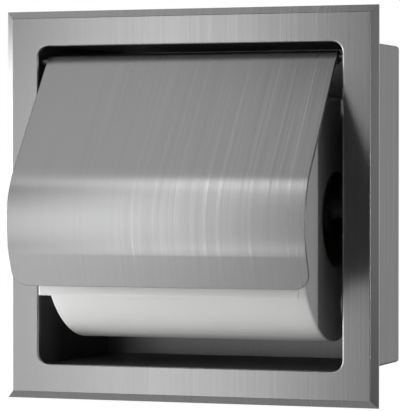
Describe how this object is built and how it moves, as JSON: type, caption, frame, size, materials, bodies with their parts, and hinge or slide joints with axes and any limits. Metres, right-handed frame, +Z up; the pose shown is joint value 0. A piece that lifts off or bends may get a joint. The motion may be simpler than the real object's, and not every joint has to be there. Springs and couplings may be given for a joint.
{
  "type": "recessed toilet paper holder",
  "caption": "Recessed toilet paper holder: flanged steel wall box with a swing-up curved cover, a spring roller and a paper roll.",
  "frame": {"origin": "centre of the flange's back face, in the plane of the wall", "axes": "+X to the right of a person facing the wall, +Y into the wall, +Z up"},
  "size_m": [0.16, 0.1182, 0.16],
  "materials": {
    "frame_steel": "vertical satin brush",
    "cover_steel": "vertical satin brush",
    "box_steel": "plain satin",
    "socket_steel": "pressed satin",
    "rod_steel": "drawn, dull",
    "roller_steel": "drawn satin",
    "spring_steel": "drawn wire",
    "plug_plastic": "moulded satin",
    "pad_rubber": "moulded matte",
    "paper": "soft tissue",
    "cardboard": "plain board"
  },
  "bodies": {
    "housing": {"front_frame": "frame_steel", "box_shell": "box_steel", "back_panel": "box_steel", "hinge_rod": "rod_steel", "hinge_clips": "rod_steel", "stop_tab_left": "box_steel", "stop_tab_right": "box_steel", "stop_pads": "pad_rubber", "socket_left": "socket_steel", "socket_right": "socket_steel", "socket_rivets": "rod_steel", "paper_tail": "paper"},
    "cover": {"flap_cover": "cover_steel", "stop_leaf_left": "cover_steel", "stop_leaf_right": "cover_steel"},
    "roller": {"roller_outer_tube": "roller_steel", "roller_right_plug": "plug_plastic", "roller_spring": "spring_steel"},
    "roller_plunger": {"roller_inner_tube": "roller_steel", "roller_left_plug": "plug_plastic", "roller_collar": "plug_plastic"},
    "roll": {"paper_roll": "paper", "cardboard_core": "cardboard"}
  },
  "joints": [
    {"name": "cover_hinge", "type": "hinge", "parent": "housing", "child": "cover", "pos_m": [0, 0.00276, 0.0594], "axis": [-1, 0, 0], "range_deg": [0, 78]},
    {"name": "roller_spin", "type": "hinge", "parent": "housing", "child": "roller", "pos_m": [0, 0.024, -0.0004], "axis": [1, 0, 0], "continuous": true},
    {"name": "roller_squeeze", "type": "slide", "parent": "roller", "child": "roller_plunger", "axis": [1, 0, 0], "range_m": [0, 0.012], "stiffness_N_per_m": 400, "springref_m": -0.006, "deforming": ["roller_spring"]},
    {"name": "roll_spin", "type": "hinge", "parent": "housing", "child": "roll", "pos_m": [0, 0.024, -0.00545], "axis": [1, 0, 0], "continuous": true}
  ],
  "couplings": [
    {"joint": "roller_spin", "follows": "roll_spin", "ratio": 1.3891}
  ]
}
